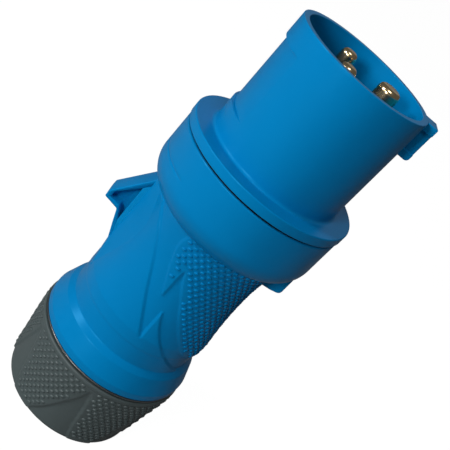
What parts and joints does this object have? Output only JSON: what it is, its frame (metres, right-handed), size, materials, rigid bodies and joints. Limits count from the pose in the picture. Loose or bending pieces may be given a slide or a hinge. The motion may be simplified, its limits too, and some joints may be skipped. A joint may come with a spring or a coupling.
{
  "type": "industrial pin and sleeve plug",
  "caption": "Blue industrial pin and sleeve plug: keyed round sleeve over brass pins, waisted grip handle with lugs, and a dark gland nut for the cable.",
  "frame": {"origin": "on the plug's axis, in the plane of the gland nut's rear face that the plug stands on", "axes": "+Z along the axis from the nut to the sleeve's mouth, +X to the key at six o'clock"},
  "size_m": [0.0603, 0.0566, 0.146],
  "materials": {
    "blue_plastic": "satin moulded",
    "nut_plastic": "matt moulded, anthracite",
    "pin_brass": "polished",
    "screw_steel": "zinc plated",
    "carrier_plastic": "matt moulded",
    "seal_rubber": "smooth",
    "cage_plastic": "natural polyamide"
  },
  "bodies": {
    "nut": {"gland_nut": "nut_plastic"},
    "slip_ring": {"thrust_ring": "cage_plastic"},
    "plug": {"shroud": "blue_plastic", "front_seal": "seal_rubber", "handle": "blue_plastic", "flange_gasket": "seal_rubber", "earth_pin": "pin_brass", "line_pin": "pin_brass", "neutral_pin": "pin_brass", "contact_carrier": "carrier_plastic", "carrier_ring": "cage_plastic", "carrier_back": "carrier_plastic", "earth_screw": "screw_steel", "line_screw": "screw_steel", "neutral_screw": "screw_steel", "earth_wire_guard": "screw_steel", "line_wire_guard": "screw_steel", "neutral_wire_guard": "screw_steel", "clamp_cage": "cage_plastic", "cable_grommet": "seal_rubber"}
  },
  "joints": [
    {"name": "nut_turn", "type": "hinge", "parent": "nut", "child": "slip_ring", "pos_m": [0, 0, 0], "axis": [0, 0, 1], "range_deg": [0, 720]},
    {"name": "nut_travel", "type": "slide", "parent": "slip_ring", "child": "plug", "axis": [0, 0, 1], "range_m": [0, 0.008]}
  ],
  "couplings": [
    {"joint": "nut_travel", "follows": "nut_turn", "m_per_rad": 0.00063662}
  ]
}
